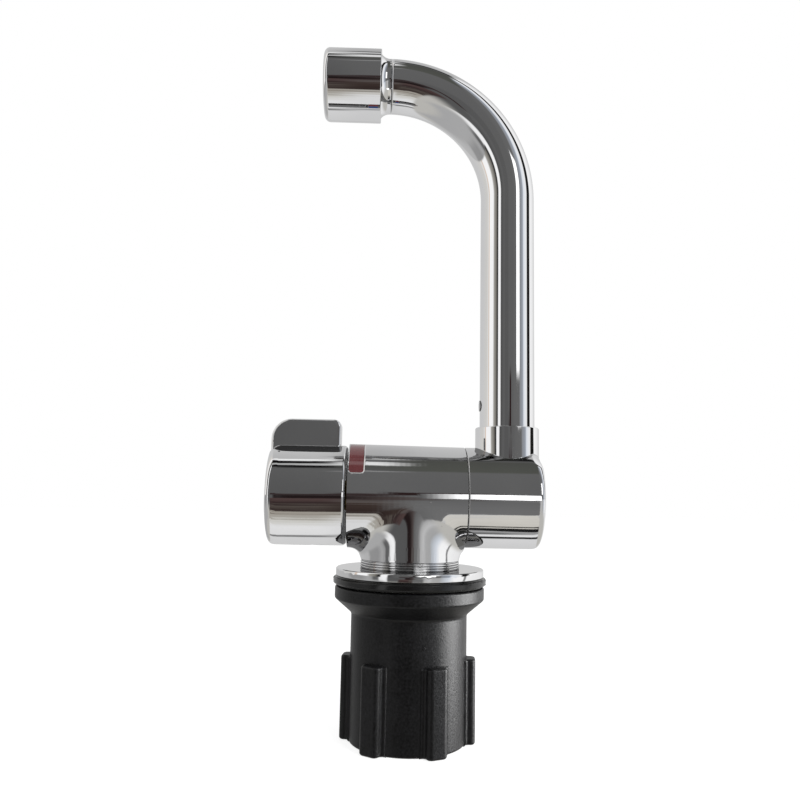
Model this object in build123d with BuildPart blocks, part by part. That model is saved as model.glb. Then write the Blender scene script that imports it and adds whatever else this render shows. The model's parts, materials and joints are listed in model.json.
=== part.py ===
import os
from math import cos, degrees, radians, sin

from build123d import *

# Folding caravan tap, millimetres, +Z up. The origin is the centre of the counter
# seat, the underside of the deck gasket. The barrel lies along X, with the knob at
# -X and the folding spout at +X, and the viewer looks along +Y.

# Clearances
seat_clearance = 0.05       # radial, between pieces fixed in one another
run_clearance = 0.04        # radial, between a shaft and the bore it turns in
face_gap = 0.02             # between flat faces that slide on each other
end_play = 0.1              # along an axis, between a shoulder and its stop
overrun = 1.0               # how far a cut runs past the surface it opens

# Deck gasket
gasket_height = 3.0
gasket_width = 9.8          # of the band, outwards from the shank
gasket_lip_height = 0.45    # the set-back edges above and below the band
gasket_lip_setback = 1.0

# Base flange
flange_radius = 25.0
flange_thickness = 2.6
flange_edge = 0.3

# Threaded shank, and the inlet block that joins it to the stem and has the ports
shank_radius = 16.0
shank_bore_radius = 13.2
shank_length = 38.0         # below the counter seat
block_radius = 12.8
block_reach = 8.0           # below the counter seat, inside the shank
block_rise = 11.0           # above the gasket, screwed into the stem
port_radius = 4.5
port_depth = 9.0
port_offset = 6.5           # each side of the middle, along Y
passage_radius = 2.6

# Tap body
axis_height = 29.6
body_left = -21.4
body_right = 18.0
barrel_radius_left = 17.65
barrel_radius_right = 17.15
stem_radius = 16.8
stem_blend = 4.0
foot_radius = 16.3
foot_height = 2.3
foot_ring_count = 3
foot_ring_width = 0.35
foot_ring_depth = 0.35
cartridge_bore_radius = 13.0
seat_x = -5.0               # the floor that the cartridge stands on
mouth_radius = 14.0
mouth_depth = 3.0
inlet_drop = 3.0            # of the two inlets below the barrel axis
inlet_radius = 2.3
outlet_rise = 5.5           # of the outlet above the barrel axis
outlet_radius = 3.0

# Hot and cold marks, let into the barrel
mark_width = 4.8
mark_margin = 0.4           # from the barrel's left end
mark_depth = 0.7
mark_corner = 1.0
mark_start_angle = 3.0
mark_end_angle = 65.0

# Cartridge
cartridge_base_thickness = 3.0
disc_thickness = 2.4
fixed_disc_radius = 10.9
moving_disc_radius = 10.7
mixing_slot_angle = 100.0
mixing_slot_depth = 1.3
housing_wall = 1.6
housing_cap = 2.0
housing_length = 10.4
knob_turn_angle = 65.0      # each way from closed
stop_lug_angle = 30.0
stop_slack_angle = 1.0
stop_depth = 1.9            # radial height of the stop inside the housing
spindle_foot_radius = 9.0
spindle_radius = 5.0
spindle_groove_depth = 1.0
tongue_length = 12.0
tongue_width = 3.0
tongue_height = 1.1
drive_hex_radius = 4.6
drive_hex_length = 14.0
nut_ring_thickness = 2.7
nut_ring_bore_radius = 8.0
nut_ring_slot_width = 3.0
nut_ring_slot_count = 4

# Control knob
knob_left = -48.2
knob_gap = 0.5              # between the knob's mouth and the body
knob_radius = 17.0
knob_end_radius = 4.0
knob_mouth_radius = 1.3
knob_wall = 2.2
knob_boss_radius = 8.0
knob_cavity_depth = 9.0
knob_boss_setback = 2.3
tab_right = -24.4
tab_top = 55.4
tab_thickness = 8.0
tab_left_corner = 7.0
tab_right_corner = 2.5
tab_edge = 1.0
knob_screw_radius = 2.0
knob_screw_length = 6.0
knob_screw_inset = 5.0      # from the end of the drive socket
screw_key_radius = 1.0
screw_key_depth = 1.6

# Fold joint
fold_gap = 0.4
journal_radius = 9.0
journal_bore_radius = 5.0
journal_reach = 12.6        # into the body
journal_seat = 6.6          # into the hub
journal_wall = 1.0
fold_angle = 90.0           # each way from upright
journal_screw_radius = 1.5
journal_screw_inset = 3.4   # from the body's right end
journal_screw_reach = 0.7   # of its tip into the groove
journal_groove_depth = 1.0
journal_groove_slack = 0.3
friction_washer_inner = 10.5
friction_washer_outer = 15.5
journal_seal_shares = (1, 2.6)  # of the seal groove's width, from the inner end

# Fold hub
hub_right = 43.6
hub_radius = 17.15
hub_end_radius = 4.0
hub_edge = 0.25
spout_x = 33.2
collar_radius = 11.0
collar_top = 53.8
collar_edge = 0.3
socket_floor = 40.5
spigot_bore_bottom = 24.0
collar_screw_radius = 1.2
collar_screw_height = 3.2   # above the socket's floor
collar_screw_reach = 0.35
collar_groove_depth = 0.5
collar_groove_slack = 0.25

# Spout
tube_radius = 9.5
tube_wall = 1.2
bend_radius = 43.0
outlet_height = 179.4
spigot_radius = 6.9
spigot_length = 5.2
spigot_bore_radius = 5.0
insert_length = 26.0
dimple_height = 21.0        # of the grub screw above the socket's floor
dimple_radius = 1.9
dimple_proud = 0.2
neck_length = 3.6
neck_rim_radius = 11.0
neck_flare_radius = 5.0
neck_thread_radius = 10.2
neck_thread_length = 6.0
neck_bore_radius = 7.0

# Aerator
aerator_radius = 12.8
aerator_length = 20.7
aerator_wall = 1.6
aerator_lip = 1.6
aerator_lip_radius = 9.8
aerator_end_radius = 2.0
aerator_edge = 0.3
aerator_washer_thickness = 2.0
insert_wall = 1.2
insert_web = 0.55
cell_radius = 1.1
cell_rings = 4
screen_thickness = 0.5
grid_thickness = 3.0
grid_setback = 1.2          # of the grid's face behind the lip

# Mounting nut and its slip washer
nut_gap = 0.3               # between the nut's rim and the gasket's level
nut_flange_radius = 25.2
nut_flange_height = 4.0
nut_cone_height = 4.9
nut_barrel_radius = 19.5
nut_height = 50.4
nut_thread_length = 24.0
nut_skirt_radius = 17.3
nut_flange_edge = 0.7
rib_count = 6
rib_width = 7.0
rib_radius = 22.35
rib_height = 27.0
rib_edge = 0.8
rib_angle = 54.0            # of the first rib, from +X
washer_outer_radius = 22.0
washer_thickness = 1.0

# O-rings
seal_cord = 0.75            # cord radius
seal_groove_width = 1.8
seal_groove_depth = 1.55

# Levels and stations that follow from the sizes above
flange_top = gasket_height + flange_thickness
stem_bottom = flange_top + foot_height
gasket_radius = shank_radius + gasket_width
block_top = gasket_height + block_rise
block_bottom = -block_reach
tube_bore_radius = tube_radius - tube_wall
barrel_length = body_right - body_left
barrel_slope = (barrel_radius_right - barrel_radius_left) / barrel_length
knob_right = body_left - knob_gap
hub_left = body_right + fold_gap
hub_length = hub_right - hub_left
collar_bore_radius = tube_radius + run_clearance
tube_bottom = socket_floor + face_gap
bend_x = spout_x - bend_radius
bend_z = outlet_height - bend_radius
neck_x = bend_x - neck_length
aerator_left = neck_x - aerator_length
aerator_bore_radius = aerator_radius - aerator_wall
housing_radius = cartridge_bore_radius - seat_clearance
housing_bore_radius = housing_radius - housing_wall
base_x = seat_x - cartridge_base_thickness
fixed_disc_x = base_x - disc_thickness
moving_disc_x = fixed_disc_x - face_gap - disc_thickness
housing_left = base_x - housing_length
housing_cap_x = housing_left + housing_cap
spindle_foot_x = moving_disc_x - face_gap
spindle_foot_left = housing_cap_x + end_play
boss_x = knob_right - knob_boss_setback
drive_x = boss_x + end_play
drive_left = drive_x - drive_hex_length
knob_screw_x = drive_left + knob_screw_inset
journal_left = body_right - journal_reach
journal_right = hub_left + journal_seat
journal_screw_x = body_right - journal_screw_inset
nut_top = -nut_gap
nut_bottom = -nut_height

barrel_axis = Axis((0, 0, axis_height), (1, 0, 0))
spout_axis = Axis((spout_x, 0, 0), (0, 0, 1))


def barrel_radius_at(x):
    """Radius of the slightly tapered barrel at a station along X."""
    return barrel_radius_left + barrel_slope * (x - body_left)


def across(x):
    """The plane square to the barrel axis at x, with Y across and Z up."""
    return Plane(origin=(x, 0, axis_height), x_dir=(0, 1, 0), z_dir=(1, 0, 0))


def level(z, x=0):
    """The horizontal plane at height z, centred on x."""
    return Plane(origin=(x, 0, z))


def save(part, name):
    """Label a finished piece and write it under its own name."""
    part.label = name
    export_step(part, f"parts/{name}.step")


def ring_at(plane, ring_radius):
    """A rubber ring of the common cord size, centred on a plane's origin."""
    with BuildPart() as ring:
        with BuildSketch(Plane(origin=plane.origin, x_dir=plane.x_dir, z_dir=-plane.y_dir)):
            with Locations((ring_radius, 0)):
                Circle(seal_cord)
        revolve(axis=Axis(plane.origin, plane.z_dir))
    return ring.part


def turned(angle=0):
    """A half plane through the barrel axis: x along it, y out from it."""
    lean = radians(angle)
    return Plane(origin=(0, 0, axis_height), x_dir=(1, 0, 0), z_dir=(0, -cos(lean), -sin(lean)))


def turned_ring(left, right, inner, outer):
    """A plain ring round the barrel axis."""
    with BuildPart() as ring:
        with BuildSketch(across(left)):
            Circle(outer)
            if inner:
                Circle(inner, mode=Mode.SUBTRACT)
        extrude(amount=right - left)
    return ring.part


def port_places():
    """The two inlets, across the barrel axis."""
    return [(-port_offset, -inlet_drop), (port_offset, -inlet_drop)]


def mark_band(grow=0, rise=0):
    """The band let into the barrel's front, from near the top downwards."""
    left = body_left + mark_margin - grow
    right = body_left + mark_margin + mark_width + grow
    depth = mark_depth + grow
    slack_angle = degrees(grow / barrel_radius_left)
    with BuildPart() as band:
        with BuildSketch(turned(mark_start_angle - slack_angle)):
            with BuildLine():
                Polyline(
                    (left, barrel_radius_at(left) - depth),
                    (left, barrel_radius_at(left) + rise),
                    (right, barrel_radius_at(right) + rise),
                    (right, barrel_radius_at(right) - depth),
                    close=True,
                )
            make_face()
        revolve(axis=barrel_axis, revolution_arc=mark_end_angle - mark_start_angle + 2 * slack_angle)
        lower_face = band.faces().filter_by(GeomType.PLANE).sort_by(Axis.Z)[0]
        fillet(lower_face.edges().sort_by(SortBy.LENGTH)[:2], mark_corner)
    return band.part


def drill_ports(near, far, inlet, outlet):
    """The three water ways through a plate of the cartridge, as a tool to cut with."""
    with BuildPart() as drills:
        with BuildSketch(across(near)):
            with Locations(*port_places()):
                Circle(inlet)
            with Locations((0, outlet_rise)):
                Circle(outlet)
        extrude(amount=far - near)
    return drills.part


os.makedirs("parts", exist_ok=True)

# Tap body: a tapered barrel blended into an upright stem
long_left = body_left - 2 * stem_blend
long_right = body_right + 2 * stem_blend
with BuildPart() as tap_body:
    with BuildSketch(turned()):
        with BuildLine():
            Polyline(
                (long_left, 0),
                (long_left, barrel_radius_at(long_left)),
                (long_right, barrel_radius_at(long_right)),
                (long_right, 0),
                close=True,
            )
        make_face()
    revolve(axis=barrel_axis)
    with BuildSketch(level(stem_bottom)):
        Circle(stem_radius)
    extrude(amount=axis_height - stem_bottom)
    fillet(tap_body.edges().filter_by(GeomType.BSPLINE), stem_blend)
    split(bisect_by=Plane(origin=(body_right, 0, 0), z_dir=(-1, 0, 0)))
    split(bisect_by=Plane(origin=(body_left, 0, 0), z_dir=(1, 0, 0)))
    with BuildSketch(level(flange_top)):
        Circle(foot_radius)
    extrude(amount=foot_height)
    with BuildSketch(Plane.XZ):
        for count in range(foot_ring_count):
            with Locations((foot_radius, flange_top + foot_height * (count + 1) / (foot_ring_count + 1))):
                Rectangle(2 * foot_ring_depth, foot_ring_width)
    revolve(axis=Axis.Z, mode=Mode.SUBTRACT)
    # the socket for the inlet block, and the ways up to the cartridge
    with BuildSketch(level(flange_top)):
        Circle(block_radius + seat_clearance)
    extrude(amount=block_top + face_gap - flange_top, mode=Mode.SUBTRACT)
    with BuildSketch(level(block_top)):
        with Locations((0, -port_offset), (0, port_offset)):
            Circle(passage_radius)
    extrude(amount=axis_height - inlet_drop - block_top, mode=Mode.SUBTRACT)
    with BuildSketch(across(seat_x)):
        with Locations(*port_places()):
            Circle(inlet_radius)
    extrude(amount=-seat_x, mode=Mode.SUBTRACT)
    with BuildSketch(across(seat_x)):
        with Locations((0, outlet_rise)):
            Circle(outlet_radius)
    extrude(amount=journal_left - seat_x, mode=Mode.SUBTRACT)
    # the cartridge's bore and threaded mouth, and the bore of the fold joint
    with BuildSketch(across(body_left)):
        Circle(cartridge_bore_radius)
    extrude(amount=seat_x - body_left, mode=Mode.SUBTRACT)
    with BuildSketch(across(body_left)):
        Circle(mouth_radius)
    extrude(amount=mouth_depth, mode=Mode.SUBTRACT)
    with BuildSketch(across(journal_left - journal_wall)):
        Circle(journal_radius + run_clearance)
    extrude(amount=body_right - journal_left + journal_wall, mode=Mode.SUBTRACT)
    # the tapped hole at the back for the screw that holds the fold journal
    with BuildSketch(Plane(origin=(journal_screw_x, 0, axis_height), x_dir=(1, 0, 0), z_dir=(0, 1, 0))):
        Circle(journal_screw_radius + seat_clearance)
    extrude(amount=barrel_radius_left + overrun, mode=Mode.SUBTRACT)
    add(mark_band(seat_clearance, overrun), mode=Mode.SUBTRACT)
    add(mark_band(seat_clearance, overrun).mirror(Plane.XZ), mode=Mode.SUBTRACT)
save(tap_body.part, "tap_body")

hot_mark = mark_band()
save(hot_mark, "hot_mark")
cold_mark = mark_band().mirror(Plane.XZ)
save(cold_mark, "cold_mark")

# Base flange, clamped between the stem and the shank's shoulder
with BuildPart() as base_flange:
    with BuildSketch(level(gasket_height)):
        Circle(flange_radius)
        Circle(block_radius + seat_clearance, mode=Mode.SUBTRACT)
    extrude(amount=flange_thickness)
    chamfer(base_flange.edges().filter_by(GeomType.CIRCLE).sort_by(SortBy.RADIUS)[-2:], flange_edge)
save(base_flange.part, "base_flange")

# Deck gasket, a band with both its edges set back
with BuildPart() as deck_gasket:
    with BuildSketch(level(0)):
        Circle(gasket_radius - gasket_lip_setback)
    extrude(amount=gasket_height)
    with BuildSketch(level(gasket_lip_height)):
        Circle(gasket_radius)
    extrude(amount=gasket_height - 2 * gasket_lip_height)
    fillet(deck_gasket.edges().filter_by(GeomType.CIRCLE).sort_by(SortBy.RADIUS)[-2:], gasket_lip_height)
    with BuildSketch(level(0)):
        Circle(shank_radius + seat_clearance)
    extrude(amount=gasket_height, mode=Mode.SUBTRACT)
save(deck_gasket.part, "deck_gasket")

# Threaded shank: a hollow stud that grips the flange against the stem
with BuildPart() as threaded_shank:
    with BuildSketch(level(-shank_length)):
        Circle(shank_radius)
    extrude(amount=shank_length + gasket_height)
    chamfer(threaded_shank.faces().sort_by(Axis.Z)[0].edges(), gasket_lip_height)
    with BuildSketch(level(-shank_length)):
        Circle(shank_bore_radius)
    extrude(amount=shank_length - block_reach, mode=Mode.SUBTRACT)
    with BuildSketch(level(block_bottom)):
        Circle(block_radius + seat_clearance)
    extrude(amount=block_reach + gasket_height, mode=Mode.SUBTRACT)
save(threaded_shank.part, "threaded_shank")

# Inlet block: screwed into both the shank and the stem, with the two hose ports
with BuildPart() as inlet_block:
    with BuildSketch(level(block_bottom)):
        Circle(block_radius)
    extrude(amount=block_top - block_bottom)
    with BuildSketch(level(block_bottom)):
        with Locations((0, -port_offset), (0, port_offset)):
            Circle(port_radius)
    extrude(amount=port_depth, mode=Mode.SUBTRACT)
    with BuildSketch(level(block_bottom)):
        with Locations((0, -port_offset), (0, port_offset)):
            Circle(passage_radius)
    extrude(amount=block_top - block_bottom, mode=Mode.SUBTRACT)
    with BuildSketch(level(block_top)):
        with Locations((0, -port_offset), (0, port_offset)):
            Circle(passage_radius + seal_groove_width)
    extrude(amount=-seal_groove_depth, mode=Mode.SUBTRACT)
save(inlet_block.part, "inlet_block")

inlet_seal_height = block_top - seal_groove_depth + seal_cord
inlet_seals = Compound(children=[
    ring_at(Plane(origin=(0, side * port_offset, inlet_seal_height)), passage_radius + seal_cord)
    for side in (-1, 1)
])
save(inlet_seals, "inlet_seals")

# Cartridge: a base plate, a fixed and a turning ceramic disc, a housing and a ring nut
with BuildPart() as cartridge_base:
    with BuildSketch(across(base_x)):
        Circle(housing_radius)
    extrude(amount=cartridge_base_thickness)
    add(drill_ports(base_x, seat_x, inlet_radius, outlet_radius), mode=Mode.SUBTRACT)
    inlet_groove = inlet_radius + seal_groove_width
    outlet_groove = outlet_radius + seal_groove_width
    add(drill_ports(seat_x - seal_groove_depth, seat_x, inlet_groove, outlet_groove), mode=Mode.SUBTRACT)
save(cartridge_base.part, "cartridge_base")

port_seal_x = seat_x - seal_groove_depth + seal_cord
port_rings = [(place, inlet_radius + seal_cord) for place in port_places()]
port_rings.append(((0, outlet_rise), outlet_radius + seal_cord))
port_seals = Compound(children=[
    ring_at(Plane(origin=(port_seal_x, y, axis_height + rise), x_dir=(0, 1, 0), z_dir=(1, 0, 0)), ring_radius)
    for (y, rise), ring_radius in port_rings
])
save(port_seals, "port_seals")

with BuildPart() as fixed_disc:
    with BuildSketch(across(fixed_disc_x)):
        Circle(fixed_disc_radius)
    extrude(amount=disc_thickness)
    add(drill_ports(fixed_disc_x, base_x, inlet_radius, outlet_radius), mode=Mode.SUBTRACT)
save(fixed_disc.part, "fixed_disc")

with BuildPart() as moving_disc:
    with BuildSketch(across(moving_disc_x)):
        Circle(moving_disc_radius)
    extrude(amount=disc_thickness)
    with BuildSketch(across(moving_disc_x + disc_thickness)):
        SlotArc(
            CenterArc((0, 0), outlet_rise, 90 - mixing_slot_angle / 2, mixing_slot_angle, mode=Mode.PRIVATE),
            2 * inlet_radius,
        )
    extrude(amount=-mixing_slot_depth, mode=Mode.SUBTRACT)
    with BuildSketch(across(moving_disc_x)):
        with Locations((0, -inlet_drop)):
            Rectangle(tongue_length + 2 * run_clearance, tongue_width + 2 * run_clearance)
    extrude(amount=tongue_height, mode=Mode.SUBTRACT)
save(moving_disc.part, "moving_disc")

stop_half_angle = knob_turn_angle + stop_lug_angle / 2 + stop_slack_angle
with BuildPart() as cartridge_housing:
    with BuildSketch(across(housing_left)):
        Circle(housing_radius)
    extrude(amount=housing_length)
    with BuildSketch(across(housing_cap_x)):
        Circle(housing_bore_radius)
    extrude(amount=housing_length - housing_cap, mode=Mode.SUBTRACT)
    with BuildSketch(across(housing_left)):
        Circle(spindle_radius + run_clearance)
    extrude(amount=housing_cap, mode=Mode.SUBTRACT)
    # the raised stop inside, open where the spindle's lug swings
    stop_length = spindle_foot_x - housing_cap_x - seal_cord
    with BuildSketch(turned(stop_half_angle)):
        with Locations((housing_cap_x, housing_bore_radius - stop_depth)):
            Rectangle(stop_length, stop_depth + seat_clearance, align=Align.MIN)
    revolve(axis=barrel_axis, revolution_arc=360 - 2 * stop_half_angle)
save(cartridge_housing.part, "cartridge_housing")

lug_radius = housing_bore_radius - end_play
with BuildPart() as cartridge_spindle:
    with BuildSketch(across(spindle_foot_left)):
        Circle(spindle_foot_radius)
    extrude(amount=spindle_foot_x - spindle_foot_left)
    with BuildSketch(turned(-stop_lug_angle / 2)):
        with Locations((spindle_foot_left, spindle_radius)):
            Rectangle(stop_length - end_play, lug_radius - spindle_radius, align=Align.MIN)
    revolve(axis=barrel_axis, revolution_arc=stop_lug_angle)
    with BuildSketch(across(spindle_foot_x)):
        with Locations((0, -inlet_drop)):
            Rectangle(tongue_length, tongue_width)
    extrude(amount=tongue_height)
    with BuildSketch(across(drive_x)):
        Circle(spindle_radius)
    extrude(amount=spindle_foot_left - drive_x)
    with BuildSketch(across(drive_left)):
        RegularPolygon(drive_hex_radius, 6)
    extrude(amount=drive_hex_length)
    spindle_seal_x = housing_left + housing_cap / 2
    with BuildSketch(turned()):
        with Locations((spindle_seal_x, spindle_radius)):
            Rectangle(seal_groove_width, 2 * spindle_groove_depth)
    revolve(axis=barrel_axis, mode=Mode.SUBTRACT)
save(cartridge_spindle.part, "cartridge_spindle")

spindle_seal_cord = (spindle_groove_depth - face_gap) / 2
with BuildPart() as spindle_seal:
    with BuildSketch(turned()):
        with Locations((spindle_seal_x, spindle_radius - spindle_seal_cord)):
            Circle(spindle_seal_cord)
    revolve(axis=barrel_axis)
save(spindle_seal.part, "spindle_seal")

with BuildPart() as cartridge_nut:
    with BuildSketch(across(housing_left - nut_ring_thickness)):
        Circle(mouth_radius - seat_clearance)
        Circle(nut_ring_bore_radius, mode=Mode.SUBTRACT)
    extrude(amount=nut_ring_thickness)
    with BuildSketch(across(housing_left - nut_ring_thickness)):
        with PolarLocations(mouth_radius, nut_ring_slot_count):
            Rectangle(mouth_radius / 2, nut_ring_slot_width)
    extrude(amount=nut_ring_thickness / 2, mode=Mode.SUBTRACT)
save(cartridge_nut.part, "cartridge_nut")

# Control knob with its thumb tab
with BuildPart() as control_knob:
    with BuildSketch(across(knob_left)):
        Circle(knob_radius)
    extrude(amount=knob_right - knob_left)
    fillet(control_knob.faces().sort_by(Axis.X)[0].edges(), knob_end_radius)
    fillet(control_knob.faces().sort_by(Axis.X)[-1].edges(), knob_mouth_radius)
    with BuildPart(mode=Mode.PRIVATE) as tab:
        with BuildSketch(Plane.XZ):
            with BuildLine():
                Polyline(
                    (knob_left, axis_height + knob_radius / 2),
                    (knob_left, tab_top),
                    (tab_right, tab_top),
                    (tab_right, axis_height + knob_radius / 2),
                    close=True,
                )
            make_face()
        extrude(amount=tab_thickness / 2, both=True)
        upper_edges = tab.edges().filter_by(Axis.Y).group_by(Axis.Z)[-1].sort_by(Axis.X)
        fillet(upper_edges[0], tab_left_corner)
        fillet(tab.edges().filter_by(Axis.Y).group_by(Axis.Z)[-1].sort_by(Axis.X)[-1], tab_right_corner)
        fillet(
            tab.faces().filter_by(Axis.Y).edges().filter_by(
                lambda edge: edge.center().Z > axis_height + knob_radius * 3 / 4
            ),
            tab_edge,
        )
    add(tab.part)
    # the hollow behind the mouth, round the boss that grips the spindle
    with BuildSketch(across(knob_right)):
        Circle(knob_radius - knob_wall)
    extrude(amount=-knob_cavity_depth, mode=Mode.SUBTRACT)
    with BuildSketch(across(boss_x)):
        Circle(knob_boss_radius)
    extrude(amount=knob_right - knob_cavity_depth - boss_x)
    with BuildSketch(across(boss_x)):
        RegularPolygon(drive_hex_radius + seat_clearance, 6)
    extrude(amount=drive_left - face_gap - boss_x, mode=Mode.SUBTRACT)
    with BuildSketch(level(axis_height, knob_screw_x)):
        Circle(knob_screw_radius + seat_clearance)
    extrude(amount=-knob_radius - overrun, mode=Mode.SUBTRACT)
save(control_knob.part, "control_knob")

with BuildPart() as knob_screw:
    with BuildSketch(level(axis_height - drive_hex_radius - face_gap, knob_screw_x)):
        Circle(knob_screw_radius)
    extrude(amount=-knob_screw_length)
    with BuildSketch(knob_screw.faces().sort_by(Axis.Z)[0]):
        RegularPolygon(screw_key_radius, 6)
    extrude(amount=-screw_key_depth, mode=Mode.SUBTRACT)
save(knob_screw.part, "knob_screw")

# Fold joint: a hollow journal screwed into the hub and turning in the body
groove_half_angle = fold_angle + degrees((journal_screw_radius + journal_groove_slack) / journal_radius)
with BuildPart() as fold_journal:
    with BuildSketch(across(journal_left)):
        Circle(journal_radius)
        Circle(journal_bore_radius, mode=Mode.SUBTRACT)
    extrude(amount=journal_right - journal_left)
    # the stop groove, which lets the body's screw pass over the fold and no further
    with BuildSketch(turned(-90 - groove_half_angle)):
        with Locations((journal_screw_x, journal_radius)):
            Rectangle(2 * (journal_screw_radius + journal_groove_slack), 2 * journal_groove_depth)
    revolve(axis=barrel_axis, revolution_arc=2 * groove_half_angle, mode=Mode.SUBTRACT)
    journal_seal_stations = [journal_left + seal_groove_width * share for share in journal_seal_shares]
    for station in journal_seal_stations:
        with BuildSketch(turned()):
            with Locations((station, journal_radius)):
                Rectangle(seal_groove_width, 2 * seal_groove_depth)
        revolve(axis=barrel_axis, mode=Mode.SUBTRACT)
save(fold_journal.part, "fold_journal")

journal_seal_radius = journal_radius - seal_groove_depth + seal_cord
journal_seals = Compound(children=[
    ring_at(across(station), journal_seal_radius) for station in journal_seal_stations
])
save(journal_seals, "journal_seals")

screw_tip_y = journal_radius - journal_screw_reach
with BuildPart() as journal_screw:
    with BuildSketch(
        Plane(origin=(journal_screw_x, screw_tip_y, axis_height), x_dir=(1, 0, 0), z_dir=(0, 1, 0))
    ):
        Circle(journal_screw_radius)
    extrude(amount=barrel_radius_right - journal_radius)
    with BuildSketch(journal_screw.faces().sort_by(Axis.Y)[-1]):
        RegularPolygon(screw_key_radius, 6)
    extrude(amount=-screw_key_depth, mode=Mode.SUBTRACT)
save(journal_screw.part, "journal_screw")

friction_washer = turned_ring(
    body_right + face_gap, hub_left - face_gap, friction_washer_inner, friction_washer_outer
)
save(friction_washer, "friction_washer")

# Fold hub: a short barrel with the upright collar that the spout turns in
with BuildPart() as fold_hub:
    with BuildSketch(across(hub_left)):
        Circle(hub_radius)
    extrude(amount=hub_length)
    fillet(fold_hub.faces().sort_by(Axis.X)[-1].edges(), hub_end_radius)
    chamfer(fold_hub.faces().sort_by(Axis.X)[0].edges(), hub_edge)
    with BuildSketch(level(axis_height, spout_x)):
        Circle(collar_radius)
    extrude(amount=collar_top - axis_height)
    with Locations((hub_right, 0, axis_height)):
        Box(
            2 * collar_radius, 2 * hub_radius, 2 * (hub_radius - hub_end_radius),
            align=(Align.MIN, Align.CENTER, Align.CENTER), mode=Mode.SUBTRACT,
        )
    chamfer(fold_hub.faces().sort_by(Axis.Z)[-1].edges(), collar_edge)
    with BuildSketch(level(collar_top, spout_x)):
        Circle(collar_bore_radius)
    extrude(amount=socket_floor - collar_top, mode=Mode.SUBTRACT)
    with BuildSketch(level(socket_floor, spout_x)):
        Circle(spigot_radius + run_clearance)
    extrude(amount=spigot_bore_bottom - socket_floor, mode=Mode.SUBTRACT)
    with BuildSketch(across(hub_left)):
        Circle(journal_radius + seat_clearance)
    extrude(amount=journal_right - hub_left, mode=Mode.SUBTRACT)
    with BuildSketch(across(hub_left)):
        Circle(journal_bore_radius)
    extrude(amount=spout_x - hub_left, mode=Mode.SUBTRACT)
    # the tapped hole at the collar's back for the screw that holds the spout
    with BuildSketch(
        Plane(origin=(spout_x, 0, socket_floor + collar_screw_height), x_dir=(1, 0, 0), z_dir=(0, 1, 0))
    ):
        Circle(collar_screw_radius + seat_clearance)
    extrude(amount=hub_radius, mode=Mode.SUBTRACT)
save(fold_hub.part, "fold_hub")

with BuildPart() as collar_screw:
    with BuildSketch(
        Plane(
            origin=(spout_x, tube_radius - collar_screw_reach, socket_floor + collar_screw_height),
            x_dir=(1, 0, 0),
            z_dir=(0, 1, 0),
        )
    ):
        Circle(collar_screw_radius)
    extrude(amount=collar_radius - tube_radius)
save(collar_screw.part, "collar_screw")

# Spout: a bent tube on a brass insert that turns in the hub
with BuildPart() as spout_tube:
    with BuildLine(Plane.XZ) as spout_path:
        upright = Line((spout_x, tube_bottom), (spout_x, bend_z))
        JernArc(start=upright @ 1, tangent=upright % 1, radius=bend_radius, arc_size=90)
    with BuildSketch(level(tube_bottom, spout_x)):
        Circle(tube_radius)
        Circle(tube_bore_radius, mode=Mode.SUBTRACT)
    sweep(path=spout_path.line)
    with BuildSketch(Plane.XZ):
        with Locations((spout_x + tube_radius, socket_floor + collar_screw_height)):
            Rectangle(2 * collar_groove_depth, 2 * (collar_screw_radius + collar_groove_slack))
    revolve(axis=spout_axis, mode=Mode.SUBTRACT)
    with BuildSketch(
        Plane(origin=(spout_x, 0, socket_floor + dimple_height), x_dir=(0, 1, 0), z_dir=(-1, 0, 0))
    ):
        Circle(dimple_radius + seat_clearance)
    extrude(amount=tube_radius + overrun, mode=Mode.SUBTRACT)
save(spout_tube.part, "spout_tube")

insert_radius = tube_bore_radius - seat_clearance
with BuildPart() as spigot_insert:
    with BuildSketch(level(tube_bottom, spout_x)):
        Circle(insert_radius)
    extrude(amount=insert_length)
    with BuildSketch(level(tube_bottom, spout_x)):
        Circle(spigot_radius)
    extrude(amount=-spigot_length)
    with BuildSketch(level(tube_bottom - spigot_length, spout_x)):
        Circle(spigot_bore_radius)
    extrude(amount=spigot_length + insert_length, mode=Mode.SUBTRACT)
    seal_radii = {
        tube_bottom - spigot_length / 2: spigot_radius,
        tube_bottom + insert_length / 2: insert_radius,
    }
    for height, radius in seal_radii.items():
        with BuildSketch(Plane.XZ):
            with Locations((spout_x + radius, height)):
                Rectangle(2 * seal_groove_depth, seal_groove_width)
        revolve(axis=spout_axis, mode=Mode.SUBTRACT)
save(spigot_insert.part, "spigot_insert")

spigot_seals = Compound(children=[
    ring_at(level(height, spout_x), radius - seal_groove_depth + seal_cord)
    for height, radius in seal_radii.items()
])
save(spigot_seals, "spigot_seals")

with BuildPart() as spout_screw:
    with BuildSketch(
        Plane(
            origin=(spout_x - insert_radius - face_gap, 0, socket_floor + dimple_height),
            x_dir=(0, 1, 0),
            z_dir=(-1, 0, 0),
        )
    ):
        Circle(dimple_radius)
    extrude(amount=tube_radius - insert_radius - face_gap + dimple_proud)
save(spout_screw.part, "spout_screw")

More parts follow.
